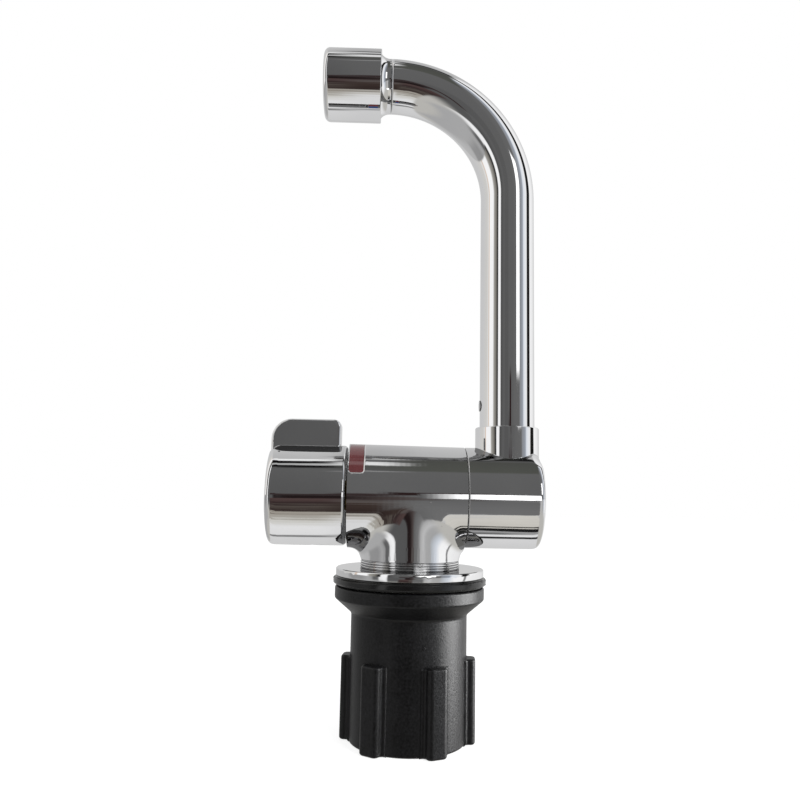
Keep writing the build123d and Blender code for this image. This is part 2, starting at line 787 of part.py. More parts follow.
# Nozzle neck: a flare from the tube to the aerator, with the thread that holds it
with BuildPart() as nozzle_neck:
    with BuildSketch(Plane.XZ):
        with BuildLine():
            Polyline(
                (bend_x, outlet_height + tube_bore_radius - seat_clearance),
                (bend_x, outlet_height + tube_radius),
            )
            RadiusArc(
                (bend_x, outlet_height + tube_radius),
                (neck_x, outlet_height + neck_rim_radius),
                neck_flare_radius,
            )
            Polyline(
                (neck_x, outlet_height + neck_rim_radius),
                (neck_x, outlet_height + neck_thread_radius),
                (neck_x - neck_thread_length, outlet_height + neck_thread_radius),
                (neck_x - neck_thread_length, outlet_height + neck_bore_radius),
                (bend_x, outlet_height + neck_bore_radius),
                (bend_x, outlet_height + tube_bore_radius - seat_clearance),
            )
        make_face()
    revolve(axis=Axis((0, 0, outlet_height), (1, 0, 0)))
save(nozzle_neck.part, "nozzle_neck")


def outlet_plane(x):
    """The plane square to the outlet's axis at x, facing the way the water leaves."""
    return Plane(origin=(x, 0, outlet_height), x_dir=(0, 1, 0), z_dir=(-1, 0, 0))


thread_wall_radius = neck_thread_radius + seat_clearance
washer_x = neck_x - neck_thread_length
insert_x = washer_x - aerator_washer_thickness
with BuildPart() as aerator_housing:
    with BuildSketch(outlet_plane(neck_x)):
        Circle(aerator_radius)
    extrude(amount=aerator_length)
    fillet(aerator_housing.faces().sort_by(Axis.X)[0].edges(), aerator_end_radius)
    chamfer(aerator_housing.faces().sort_by(Axis.X)[-1].edges(), aerator_edge)
    with BuildSketch(outlet_plane(neck_x)):
        Circle(thread_wall_radius)
    extrude(amount=aerator_length - aerator_lip, mode=Mode.SUBTRACT)
    with BuildSketch(outlet_plane(insert_x)):
        Circle(aerator_bore_radius)
    extrude(amount=insert_x - aerator_left - aerator_lip, mode=Mode.SUBTRACT)
    with BuildSketch(outlet_plane(neck_x)):
        Circle(aerator_lip_radius)
    extrude(amount=aerator_length, mode=Mode.SUBTRACT)
save(aerator_housing.part, "aerator_housing")

with BuildPart() as aerator_washer:
    with BuildSketch(outlet_plane(washer_x)):
        Circle(neck_thread_radius)
        Circle(neck_bore_radius, mode=Mode.SUBTRACT)
    extrude(amount=aerator_washer_thickness)
save(aerator_washer.part, "aerator_washer")

# Aerator insert: a cup with a honeycomb outlet, held behind the housing's lip
cup_length = aerator_left + aerator_lip - insert_x
cell_pitch = cell_radius + insert_web / 2
with BuildPart() as aerator_insert:
    with BuildSketch(outlet_plane(insert_x)):
        Circle(aerator_bore_radius - seat_clearance)
        Circle(aerator_bore_radius - insert_wall, mode=Mode.SUBTRACT)
    extrude(amount=-cup_length)
    with BuildSketch(outlet_plane(aerator_left + aerator_lip + grid_setback + grid_thickness)):
        Circle(aerator_bore_radius - insert_wall + seat_clearance)
    extrude(amount=grid_thickness)
    with BuildSketch(outlet_plane(aerator_left + aerator_lip + grid_setback)):
        for column in range(1 - cell_rings, cell_rings):
            column_count = 2 * cell_rings - 1 - abs(column)
            for row in range(column_count):
                place = (
                    column * cell_pitch * 2 * cos(radians(30)),
                    (2 * row + 1 - column_count) * cell_pitch,
                )
                with Locations(place):
                    RegularPolygon(cell_radius, 6, major_radius=False)
    extrude(amount=-grid_thickness, mode=Mode.SUBTRACT)
save(aerator_insert.part, "aerator_insert")

screen_x = aerator_left + aerator_lip + grid_setback + grid_thickness + screen_thickness
with BuildPart() as aerator_screen:
    with BuildSketch(outlet_plane(screen_x)):
        Circle(aerator_bore_radius - insert_wall - seat_clearance)
    extrude(amount=screen_thickness)
save(aerator_screen.part, "aerator_screen")

# Mounting nut: a wide flange, a cone, a barrel and grip ribs
with BuildPart() as mounting_nut:
    with BuildSketch(Plane.XZ):
        with BuildLine():
            Polyline(
                (0, nut_top),
                (nut_flange_radius, nut_top),
                (nut_flange_radius, nut_top - nut_flange_height),
                (nut_barrel_radius, nut_top - nut_flange_height - nut_cone_height),
                (nut_barrel_radius, nut_bottom),
                (0, nut_bottom),
                close=True,
            )
        make_face()
    revolve(axis=Axis.Z)
    fillet(mounting_nut.faces().sort_by(Axis.Z)[-1].edges(), nut_flange_edge)
    with BuildPart(mode=Mode.PRIVATE) as rib:
        with BuildSketch(level(nut_bottom)):
            with Locations(((nut_skirt_radius + rib_radius) / 2, 0)):
                Rectangle(rib_radius - nut_skirt_radius, rib_width)
        extrude(amount=rib_height)
        outer_face = rib.faces().sort_by(Axis.X)[-1]
        fillet(outer_face.edges() + rib.faces().sort_by(Axis.Z)[-1].edges().filter_by(Axis.X), rib_edge)
    with PolarLocations(0, rib_count, start_angle=rib_angle):
        add(rib.part)
    with BuildSketch(level(nut_bottom)):
        Circle(nut_skirt_radius)
    extrude(amount=nut_top - nut_thread_length - nut_bottom, mode=Mode.SUBTRACT)
    with BuildSketch(level(nut_bottom)):
        Circle(shank_radius + 2 * run_clearance)
    extrude(amount=nut_height, mode=Mode.SUBTRACT)
    with BuildSketch(level(nut_top)):
        Circle(washer_outer_radius + seat_clearance)
    extrude(amount=nut_gap - washer_thickness - face_gap, mode=Mode.SUBTRACT)
save(mounting_nut.part, "mounting_nut")

with BuildPart() as slip_washer:
    with BuildSketch(level(-washer_thickness)):
        Circle(washer_outer_radius)
        Circle(shank_radius + 2 * run_clearance, mode=Mode.SUBTRACT)
    extrude(amount=washer_thickness - face_gap)
save(slip_washer.part, "slip_washer")
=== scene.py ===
import json
from math import cos, pi, radians, sin, sqrt, tan

import bmesh
import bpy
from bmesh.types import BMEdge, BMFace, BMVert
from mathutils import Matrix, Vector


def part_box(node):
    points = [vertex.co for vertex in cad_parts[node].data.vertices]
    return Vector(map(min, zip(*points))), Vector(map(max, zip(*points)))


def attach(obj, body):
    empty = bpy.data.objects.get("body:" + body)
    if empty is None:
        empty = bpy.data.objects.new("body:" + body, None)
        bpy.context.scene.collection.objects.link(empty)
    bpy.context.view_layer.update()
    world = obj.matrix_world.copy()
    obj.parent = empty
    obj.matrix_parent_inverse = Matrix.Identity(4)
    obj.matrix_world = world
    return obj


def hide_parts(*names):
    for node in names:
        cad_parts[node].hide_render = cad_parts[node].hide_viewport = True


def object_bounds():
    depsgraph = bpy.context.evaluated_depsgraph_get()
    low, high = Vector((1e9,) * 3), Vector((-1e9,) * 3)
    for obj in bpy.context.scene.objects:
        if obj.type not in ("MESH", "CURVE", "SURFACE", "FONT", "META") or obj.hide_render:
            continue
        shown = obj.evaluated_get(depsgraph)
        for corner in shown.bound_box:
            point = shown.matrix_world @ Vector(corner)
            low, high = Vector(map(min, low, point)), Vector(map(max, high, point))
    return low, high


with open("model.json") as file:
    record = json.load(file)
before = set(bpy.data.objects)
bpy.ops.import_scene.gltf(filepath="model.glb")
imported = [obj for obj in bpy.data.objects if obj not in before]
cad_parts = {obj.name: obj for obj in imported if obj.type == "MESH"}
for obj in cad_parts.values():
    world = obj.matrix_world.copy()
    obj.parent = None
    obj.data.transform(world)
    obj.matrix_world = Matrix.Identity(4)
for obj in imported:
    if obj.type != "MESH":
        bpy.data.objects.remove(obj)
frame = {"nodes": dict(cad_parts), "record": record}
cadLow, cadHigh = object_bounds()
print("frame loaded:", len(frame["nodes"]), "nodes")

mm = 0.001
scene = bpy.context.scene
xAxis, yAxis, zAxis = Vector((1, 0, 0)), Vector((0, 1, 0)), Vector((0, 0, 1))


def emptyMaterial(name):
    material = bpy.data.materials.new(name)
    material.use_nodes = True
    material.node_tree.nodes.clear()
    return material, material.node_tree


def setInputs(node, values):
    for socketName, value in values.items():
        node.inputs[socketName].default_value = value


def rangeNode(tree, value, low, high, toLow=0.0, toHigh=1.0, smooth=False):
    # carries low..high over to toLow..toHigh
    node = tree.nodes.new("ShaderNodeMapRange")
    if smooth:
        node.interpolation_type = "SMOOTHSTEP"
    setInputs(node, {"From Min": low, "From Max": high, "To Min": toLow, "To Max": toHigh})
    tree.links.new(value, node.inputs["Value"])
    return node.outputs["Result"]


def rampNode(tree, factor, stops):
    node = tree.nodes.new("ShaderNodeValToRGB")
    ramp = node.color_ramp
    while len(ramp.elements) > 1:
        ramp.elements.remove(ramp.elements[-1])
    ramp.elements[0].position = stops[0][0]
    ramp.elements[0].color = (*stops[0][1], 1)
    for position, colour in stops[1:]:
        ramp.elements.new(position).color = (*colour, 1)
    tree.links.new(factor, node.inputs["Fac"])
    return node.outputs["Color"]


def mixedShader(tree, factor, first, second):
    node = tree.nodes.new("ShaderNodeMixShader")
    for socket, place in ((factor, "Fac"), (first, 1), (second, 2)):
        tree.links.new(socket, node.inputs[place])
    return node.outputs["Shader"]


def fineGrainGroup():
    # value, fine height and broad waves of a two-scale grain, shared by every finish
    group = bpy.data.node_groups.new("fineGrain", "ShaderNodeTree")
    face = group.interface
    for socketName, start in (("Fine Scale", 400.0), ("Broad Scale", 30.0), ("Broad Share", 0.4)):
        face.new_socket(socketName, in_out="INPUT", socket_type="NodeSocketFloat").default_value = start
    for socketName in ("Value", "Height", "Waves"):
        face.new_socket(socketName, in_out="OUTPUT", socket_type="NodeSocketFloat")
    make, link = group.nodes.new, group.links.new
    inside, outside = make("NodeGroupInput"), make("NodeGroupOutput")
    place, blend = make("ShaderNodeTexCoord"), make("ShaderNodeMix")
    for scale, detail, side, height in (("Fine Scale", 4, "A", "Height"), ("Broad Scale", 3, "B", "Waves")):
        noise = make("ShaderNodeTexNoise")
        noise.inputs["Detail"].default_value = detail
        link(place.outputs["Object"], noise.inputs["Vector"])
        link(inside.outputs[scale], noise.inputs["Scale"])
        link(noise.outputs["Fac"], blend.inputs[side])
        link(noise.outputs["Fac"], outside.inputs[height])
    link(inside.outputs["Broad Share"], blend.inputs["Factor"])
    link(blend.outputs["Result"], outside.inputs["Value"])
    return group


grainGroup = fineGrainGroup()


def grainedFinish(name, dark, light, rough, metallic=0.0, fine=3000.0, broad=60.0, share=0.5,
                  bump=0.0, bumpDepth=0.02, coat=0.0, specular=0.5, wave="Height"):
    # a finish whose colour and roughness drift with the grain; rough is (lowest, highest)
    material, tree = emptyMaterial(name)
    make, link = tree.nodes.new, tree.links.new
    shader, grain = make("ShaderNodeBsdfPrincipled"), make("ShaderNodeGroup")
    grain.node_tree = grainGroup
    setInputs(grain, {"Fine Scale": fine, "Broad Scale": broad, "Broad Share": share})
    link(rampNode(tree, grain.outputs["Value"], [(0.35, dark), (0.65, light)]), shader.inputs["Base Color"])
    link(rangeNode(tree, grain.outputs["Value"], 0.3, 0.7, *rough), shader.inputs["Roughness"])
    setInputs(shader, {"Metallic": metallic, "Coat Weight": coat, "Specular IOR Level": specular})
    if bump:
        relief = make("ShaderNodeBump")
        setInputs(relief, {"Strength": bump, "Distance": bumpDepth * mm})
        link(grain.outputs[wave], relief.inputs["Height"])
        link(relief.outputs["Normal"], shader.inputs["Normal"])
    link(shader.outputs["BSDF"], make("ShaderNodeOutputMaterial").inputs["Surface"])
    return material


finishes = {
    "chrome": grainedFinish("drawnChrome", (0.87, 0.87, 0.88), (0.91, 0.91, 0.915), (0.02, 0.05),
                            metallic=1.0, fine=900, broad=40, share=0.8, bump=1.0, bumpDepth=0.03,
                            wave="Waves"),
    "castChrome": grainedFinish("castChrome", (0.86, 0.86, 0.87), (0.91, 0.91, 0.915), (0.02, 0.06),
                                metallic=1.0, fine=900, broad=55, share=0.8, bump=1.0, bumpDepth=0.05,
                                wave="Waves"),
    "brass": grainedFinish("turnedBrass", (0.60, 0.45, 0.20), (0.72, 0.57, 0.28), (0.22, 0.38),
                           metallic=1.0, fine=2500, broad=80, bump=0.2),
    "rubber": grainedFinish("blackRubber", (0.004, 0.004, 0.004), (0.009, 0.009, 0.009), (0.14, 0.24),
                            fine=2500, broad=70, bump=0.1),
    "nut_plastic": grainedFinish("grainedBlackPlastic", (0.002, 0.002, 0.002), (0.010, 0.010, 0.011),
                                 (0.32, 0.46), fine=1500, broad=90, share=0.25, bump=1.0, bumpDepth=0.06,
                                 specular=0.3),
    "inner_plastic": grainedFinish("naturalPlastic", (0.66, 0.66, 0.63), (0.76, 0.76, 0.73), (0.40, 0.50)),
    "aerator_plastic": grainedFinish("greyPlastic", (0.42, 0.43, 0.45), (0.52, 0.53, 0.55), (0.35, 0.48)),
    "ceramic": grainedFinish("lappedCeramic", (0.80, 0.79, 0.76), (0.86, 0.85, 0.82), (0.12, 0.2)),
    "steel": grainedFinish("plainSteel", (0.50, 0.50, 0.50), (0.60, 0.60, 0.60), (0.25, 0.4), metallic=1.0),
    "red_mark": grainedFinish("redResin", (0.085, 0.022, 0.024), (0.135, 0.040, 0.042), (0.08, 0.16),
                              coat=0.8),
    "blue_mark": grainedFinish("blueResin", (0.03, 0.07, 0.22), (0.05, 0.10, 0.30), (0.06, 0.12), coat=0.6),
}
slotOf = {part["node"]: part["material_slot"] for part in frame["record"]["subparts"]}
bodyOf = {node: body for body, nodes in frame["record"]["behaviour"]["bodies"].items() for node in nodes}
for nodeName, nodeObject in frame["nodes"].items():
    nodeObject.data.materials.clear()
    nodeObject.data.materials.append(finishes[slotOf[nodeName]])
print("finishes:", len(finishes))


def objectFrom(name, bm):
    mesh = bpy.data.meshes.new(name)
    bm.to_mesh(mesh)
    bm.free()
    made = bpy.data.objects.new(name, mesh)
    scene.collection.objects.link(made)
    return made


def standFor(name, bm, node, smoothAngle=32, finish=None):
    # a finished bmesh becomes a piece that stands for a CAD node
    piece = objectFrom(name, bm)
    piece.data.materials.append(finishes[finish or slotOf[node]])
    piece.data.shade_smooth()
    piece.data.set_sharp_from_angle(angle=radians(smoothAngle))
    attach(piece, bodyOf[node])
    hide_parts(node)
    return piece


def evened(piece):
    # broad faces keep their own direction, so reflections run straight up to the rounded edges
    even = piece.modifiers.new("evenNormals", "WEIGHTED_NORMAL")
    even.mode = "FACE_AREA"
    even.weight = 80
    even.keep_sharp = True


def softened(piece, width, segments=2, angle=50):
    edge = piece.modifiers.new("softEdges", "BEVEL")
    edge.limit_method = "ANGLE"
    edge.angle_limit = radians(angle)
    edge.width = width * mm
    edge.segments = segments
    edge.use_clamp_overlap = False     # one short edge would thin the whole bevel
    evened(piece)
    return piece


def mergedCopy(node):
    # a CAD node's own shape with its loose triangles joined up
    bm = bmesh.new()
    bm.from_mesh(frame["nodes"][node].data)
    bmesh.ops.remove_doubles(bm, verts=bm.verts, dist=0.002 * mm)
    return bm


def picked(parts, kind):
    return [part for part in parts if isinstance(part, kind)]


def halved(bm, edges, settle=None):
    # cuts edges in two; settle moves each new point before the faces are made triangles again
    for vert in picked(bmesh.ops.subdivide_edges(bm, edges=edges, cuts=1)["geom_inner"], BMVert):
        if settle:
            settle(vert)
    bmesh.ops.triangulate(bm, faces=[face for face in bm.faces if len(face.verts) > 3])


def cutOff(bm, height, side):
    # takes away what lies above (side 1) or below (side -1) a height in mm, and gives the edges of the cut
    cut = bmesh.ops.bisect_plane(bm, geom=bm.verts[:] + bm.edges[:] + bm.faces[:], dist=0.001 * mm,
                                 plane_co=(0, 0, height * mm), plane_no=(0, 0, side), clear_outer=True)
    return picked(cut["geom_cut"], BMEdge)


def absorb(bm, extra):
    # a second bmesh joins the first
    mesh = bpy.data.meshes.new("joined")
    extra.to_mesh(mesh)
    extra.free()
    bm.from_mesh(mesh)
    bpy.data.meshes.remove(mesh)


def roundedLine(corners, arcSteps=6):
    # (along, out, radius) corners in mm, each non-zero radius laid as an arc
    points = []
    for place, (along, out, radius) in enumerate(corners):
        here = Vector((along, out))
        if radius == 0 or place in (0, len(corners) - 1):
            points.append(here)
            continue
        toBack = (Vector(corners[place - 1][:2]) - here).normalized()
        toNext = (Vector(corners[place + 1][:2]) - here).normalized()
        half = toBack.angle(toNext) / 2
        reach = radius / tan(half)
        centre = here + (toBack + toNext).normalized() * (radius / sin(half))
        first, last = here + toBack * reach - centre, here + toNext * reach - centre
        sweep = first.angle_signed(last)
        for step in range(arcSteps + 1):
            turn = Matrix.Rotation(-sweep * step / arcSteps, 2)
            points.append(centre + turn @ first)
    return points


def spunShell(corners, origin, along, out, steps=160, arcSteps=6):
    # a closed profile in mm, spun round the axis through origin
    bm = bmesh.new()
    points = roundedLine(corners, arcSteps)
    verts = [bm.verts.new(origin + along * (p.x * mm) + out * (p.y * mm)) for p in points]
    edges = [bm.edges.new(pair) for pair in zip(verts, verts[1:] + verts[:1])]
    bmesh.ops.spin(bm, geom=verts + edges, cent=origin, axis=along, angle=2 * pi, steps=steps,
                   use_merge=True)
    bmesh.ops.remove_doubles(bm, verts=bm.verts, dist=0.001 * mm)
    bmesh.ops.recalc_face_normals(bm, faces=bm.faces)
    return bm


# all in mm. barrelLeft and barrelRight are (x, radius). onSkin and inside say how far off the barrel or inside
# it a point may lie, chordSag how far an edge's middle may, margin how far past the rounding the fine faces go
blendZone = {"barrelAxis": 29.6, "barrelLeft": (-21.4, 17.65), "barrelRight": (18.0, 17.15),
             "stemRadius": 16.8, "stemFoot": 8.6, "finest": 0.8, "barrelStep": 0.9, "sideRadius": 4.7,
             "frontRadius": 16.0, "onSkin": 0.03, "chordSag": 0.2, "inside": 0.1, "margin": 1.5}


def barrelRadius(x):
    (leftX, leftR), (rightX, rightR) = blendZone["barrelLeft"], blendZone["barrelRight"]
    return leftR + (rightR - leftR) * (x / mm - leftX) / (rightX - leftX)


def offAxis(point):
    # the way from the barrel's axis to a point, square to the axis, in mm
    return Vector((0, point.y / mm, point.z / mm - blendZone["barrelAxis"]))


def finerBarrel(bm):
    # more points on the barrel's own round, so that its reflections run evenly past the marks
    def lift(point):
        return offAxis(point).length - barrelRadius(point.x)

    def ontoBarrel(vert):
        away = Vector((0, vert.co.y, vert.co.z - blendZone["barrelAxis"] * mm)).normalized()
        vert.co -= away * (lift(vert.co) * mm)

    for _ in range(5):
        long = [edge for edge in bm.edges if edge.calc_length() > blendZone["barrelStep"] * mm
                and all(abs(lift(vert.co)) < blendZone["onSkin"] for vert in edge.verts)
                and abs(lift((edge.verts[0].co + edge.verts[1].co) / 2)) < blendZone["chordSag"]]
        if not long:
            break
        halved(bm, long, ontoBarrel)


def meltedBlend(bm):
    # the cast shoulder where barrel and stem flow together: fine faces there, eased out to a wider rounding
    low, high = (blendZone["stemFoot"] + 0.4) * mm, (blendZone["barrelAxis"] - 1) * mm

    def reach(point):
        # distance outside the barrel and the stem, the way off each, and how far the rounding reaches
        away = offAxis(point)
        aside = Vector((point.x / mm, point.y / mm, 0))
        barrel = away.length - barrelRadius(point.x)
        stem = aside.length - blendZone["stemRadius"]
        front = min(1.0, abs(point.y / mm) / blendZone["stemRadius"])
        radius = blendZone["sideRadius"] + (blendZone["frontRadius"] - blendZone["sideRadius"]) * front ** 4
        away, aside = away.normalized(), aside.normalized()
        return barrel, stem, away, aside, max(0.05, radius * (1 - away.dot(aside)))

    def outside(point):
        barrel, stem, away, aside, spread = reach(point)
        return (min(barrel, stem) > -blendZone["inside"] and low < point.z < high
                and max(barrel, stem) < spread + blendZone["margin"])

    for _ in range(6):
        long = [edge for edge in bm.edges if edge.calc_length() > blendZone["finest"] * mm
                and any(outside(vert.co) for vert in edge.verts)
                and all(min(reach(vert.co)[:2]) > -blendZone["inside"] for vert in edge.verts)]
        if not long:
            break
        halved(bm, long)
    for vert in bm.verts:
        if not outside(vert.co):
            continue
        for _ in range(3):
            barrel, stem, away, aside, spread = reach(vert.co)
            overlap = max(spread - abs(barrel - stem), 0) / spread
            gap = min(barrel, stem) - overlap ** 2 * spread / 4
            weight = 0.5 + 0.5 * max(-1, min(1, (barrel - stem) / spread))
            vert.co -= (away * (1 - weight) + aside * weight).normalized() * min(0, gap) * mm


foot = {"low": 5.6, "high": 9.0, "overlap": 0.2, "radius": 16.8, "inner": 15.2, "groove": 16.25,
        "ridge": 16.8, "ridges": (6.05, 6.85, 7.65), "halfWidth": 0.26, "slope": 0.1, "shoulder": 8.2,
        "crest": 0.18, "valley": 0.04, "edge": 0.2}


def ringedFoot(bm):
    # the plain foot comes off and a turned one with three rings takes its place
    bmesh.ops.bridge_loops(bm, edges=cutOff(bm, foot["high"] - foot["overlap"], -1))
    outline = [(foot["low"], foot["inner"], 0), (foot["low"], foot["groove"], 0)]
    for middle in foot["ridges"]:
        start, end = middle - foot["halfWidth"], middle + foot["halfWidth"]
        outline += [(start - foot["slope"], foot["groove"], foot["valley"]),
                    (start, foot["ridge"], foot["crest"]), (end, foot["ridge"], foot["crest"]),
                    (end + foot["slope"], foot["groove"], foot["valley"])]
    outline += [(foot["shoulder"], foot["groove"], foot["valley"]),
                (foot["shoulder"] + foot["slope"], foot["radius"], foot["edge"]),
                (foot["high"], foot["radius"], 0), (foot["high"], foot["inner"], 0)]
    absorb(bm, spunShell(outline, Vector((0, 0, 0)), zAxis, xAxis, steps=192, arcSteps=4))


# the ends whose rounding is tighter than an arc, and the degrees from the top over which that fades in
squareEnds = {
    "control_knob": {"end": -48.2, "outward": -1, "radius": 17.0, "rounding": 4.0, "squareness": 4.4,
                     "step": 0.7, "fade": (16, 28)},
    "fold_hub": {"end": 43.6, "outward": 1, "radius": 17.15, "rounding": 4.0, "squareness": 4.4,
                 "step": 0.7, "fade": (34, 52)},
}


def tighterEnd(bm, shape):
    # the round of an arm's end, drawn out towards its corner and left as it is near what stands on top
    start, full = (radians(angle) for angle in shape["fade"])

    def spot(point):
        # shares of the rounding along the arm and outwards, and the way out
        way = offAxis(point)
        along = (point.x / mm - shape["end"]) * shape["outward"] / shape["rounding"] + 1
        return along, (way.length - shape["radius"]) / shape["rounding"] + 1, way.normalized()

    def onRound(point, slack):
        along, across, way = spot(point)
        return (way.angle(zAxis) > start and min(along, across) > -0.01
                and abs(sqrt(along ** 2 + across ** 2) - 1) < slack)

    for _ in range(3):
        halved(bm, [edge for edge in bm.edges if edge.calc_length() > shape["step"] * mm
                    and all(onRound(vert.co, 0.03) for vert in edge.verts)])
    power = shape["squareness"]
    for vert in bm.verts:
        along, across, way = spot(vert.co)
        if min(along, across) > 0.001 and onRound(vert.co, 0.06):
            share = min(1, (way.angle(zAxis) - start) / (full - start))
            step = ((along ** power + across ** power) ** (-1 / power) - 1) * share * shape["rounding"] * mm
            vert.co += way * (across * step)
            vert.co.x += along * step * shape["outward"]


# how wide each casting's edges are softened, in mm; 0 leaves them crisp
castEdges = {"tap_body": 0, "fold_hub": 0.15, "control_knob": 0.3}
for nodeName, edgeWidth in castEdges.items():
    shape = mergedCopy(nodeName)
    if nodeName == "tap_body":
        finerBarrel(shape)
        meltedBlend(shape)
        ringedFoot(shape)
    else:
        tighterEnd(shape, squareEnds[nodeName])
    piece = standFor(nodeName + "Shell", shape, nodeName, finish="castChrome")
    if edgeWidth:
        softened(piece, edgeWidth)
    else:
        evened(piece)
softened(standFor("baseFlangeShell", mergedCopy("base_flange"), "base_flange"), 0.45, 3)
softened(standFor("deckGasketRing", mergedCopy("deck_gasket"), "deck_gasket"), 0.18)
print("chrome shells made")

tubeLow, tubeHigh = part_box("spout_tube")
tube = {"radius": 9.5, "wall": 1.2, "bottom": 40.52, "sides": 96, "bendSteps": 64}
tube["x"] = tubeHigh.x / mm - tube["radius"]
tube["outletHeight"] = tubeHigh.z / mm - tube["radius"]
tube["bendRadius"] = tube["x"] - tubeLow.x / mm


def bentTube():
    # a ring raised to the bend and swept round it
    bm = bmesh.new()
    bmesh.ops.create_circle(bm, segments=tube["sides"], radius=tube["radius"] * mm,
                            matrix=Matrix.Translation((tube["x"] * mm, 0, tube["bottom"] * mm)))
    bendZ = tube["outletHeight"] - tube["bendRadius"]
    top = picked(bmesh.ops.extrude_edge_only(bm, edges=bm.edges[:])["geom"], BMVert)
    bmesh.ops.translate(bm, verts=top, vec=zAxis * ((bendZ - tube["bottom"]) * mm))
    rim = [edge for edge in bm.edges if all(vert in top for vert in edge.verts)]
    bmesh.ops.spin(bm, geom=top + rim, cent=((tube["x"] - tube["bendRadius"]) * mm, 0, bendZ * mm),
                   axis=-yAxis, angle=pi / 2, steps=tube["bendSteps"])
    bmesh.ops.remove_doubles(bm, verts=bm.verts, dist=0.001 * mm)
    bmesh.ops.recalc_face_normals(bm, faces=bm.faces)
    return bm


tubePiece = standFor("bentSpoutTube", bentTube(), "spout_tube", 40)
wall = tubePiece.modifiers.new("tubeWall", "SOLIDIFY")
wall.thickness = tube["wall"] * mm
wall.offset = -1
evened(tubePiece)
print("spout tube made")

# heights and radii in mm, angles in degrees from +x; the rib* values shape the six grip ribs
nut = {"top": -0.3, "bottom": -50.4, "flangeRadius": 25.2, "flangeHeight": 4.0, "coneHeight": 4.9,
       "barrelRadius": 19.5, "skirtBore": 17.3, "bore": 16.1, "threadEnd": -24.3, "pocketRadius": 22.2,
       "pocketFloor": -1.05, "ribs": 6, "ribWidth": 7.0, "ribRadius": 22.45, "ribTop": -23.4, "firstRib": 54,
       "ribRounding": 1.7, "ribRoot": 1.2, "ribSink": 0.12, "ribDepth": 0.7, "ribHem": 0.2, "ribFlare": 0.08,
       "ribEdge": 0.8, "ribEdgeFrom": 0.3, "gateAngle": -78, "gateHeight": -17.5, "gateRadius": 0.7,
       "gateLift": 0.05, "gateDepth": 0.6}


def nutBody():
    flangeFoot = nut["top"] - nut["flangeHeight"]
    return spunShell(((nut["pocketFloor"], nut["bore"], 0.3), (nut["pocketFloor"], nut["pocketRadius"], 0.2),
                      (nut["top"], nut["pocketRadius"], 0.3), (nut["top"], nut["flangeRadius"], 0.8),
                      (flangeFoot, nut["flangeRadius"], 1.0),
                      (flangeFoot - nut["coneHeight"], nut["barrelRadius"], 1.6),
                      (nut["bottom"], nut["barrelRadius"], 0.8), (nut["bottom"], nut["skirtBore"], 0.5),
                      (nut["threadEnd"], nut["skirtBore"], 0.3), (nut["threadEnd"], nut["bore"], 0.4)),
                     Vector((0, 0, 0)), zAxis, xAxis, steps=144, arcSteps=5)


def nutRib(bm, degrees):
    # one grip rib: its cut across, raised and rounded at both ends
    half, root = nut["ribWidth"] / 2, nut["barrelRadius"]
    side = root - nut["ribSink"]
    flank = [(side - nut["ribDepth"], half + nut["ribRoot"] + nut["ribHem"], 0),
             (side, half + nut["ribRoot"], 0), (side + nut["ribFlare"], half, nut["ribRoot"] * 0.9),
             (nut["ribRadius"], half, nut["ribRounding"])]
    corners = [(out, -across, radius) for out, across, radius in flank] + flank[::-1]
    turn = Matrix.Rotation(radians(degrees), 4, "Z")
    verts = [bm.verts.new(turn @ Vector((p.x * mm, p.y * mm, nut["bottom"] * mm)))
             for p in roundedLine(corners, 5)]
    bottom = bm.faces.new(verts)
    raised = bmesh.ops.extrude_face_region(bm, geom=[bottom])["geom"]
    bmesh.ops.translate(bm, verts=picked(raised, BMVert), vec=zAxis * ((nut["ribTop"] - nut["bottom"]) * mm))
    rims = [edge for face in (picked(raised, BMFace)[0], bottom) for edge in face.edges
            if min(vert.co.xy.length for vert in edge.verts) > (root + nut["ribEdgeFrom"]) * mm]
    bmesh.ops.bevel(bm, geom=rims, offset=nut["ribEdge"] * mm, offset_type="OFFSET", affect="EDGES",
                    segments=3, profile=0.5, material=-1)


def gateMark(bm):
    # the small moulding gate on the nut's barrel
    turn = Matrix.Rotation(radians(nut["gateAngle"]), 4, "Z")
    seat = Matrix.Translation(((nut["barrelRadius"] + nut["gateLift"]) * mm, 0, nut["gateHeight"] * mm))
    bmesh.ops.create_cone(bm, cap_ends=True, segments=24, radius1=nut["gateRadius"] * mm,
                          radius2=nut["gateRadius"] * 0.5 * mm, depth=nut["gateDepth"] * mm,
                          matrix=turn @ seat @ Matrix.Rotation(pi / 2, 4, "Y"))


def handNut():
    bm, extras = nutBody(), bmesh.new()
    for rib in range(nut["ribs"]):
        nutRib(extras, nut["firstRib"] + 360 * rib / nut["ribs"])
    gateMark(extras)
    bmesh.ops.recalc_face_normals(extras, faces=extras.faces)
    absorb(bm, extras)
    return bm


evened(standFor("handNut", handNut(), "mounting_nut", 40))
print("hand nut made")

# outline holds one pitch of the thread as shares of the pitch and of the depth
thread = {"crest": 16.0, "root": 15.15, "pitch": 2.0, "top": -1.2, "bottom": -37.4, "bore": 13.2,
          "stepsPerTurn": 64, "low": -38.0, "high": 3.0, "endDip": 0.2, "coreGap": 0.05,
          "outline": ((0, 0), (0.12, 0), (0.42, 1), (0.58, 1), (0.88, 0), (1, 0))}


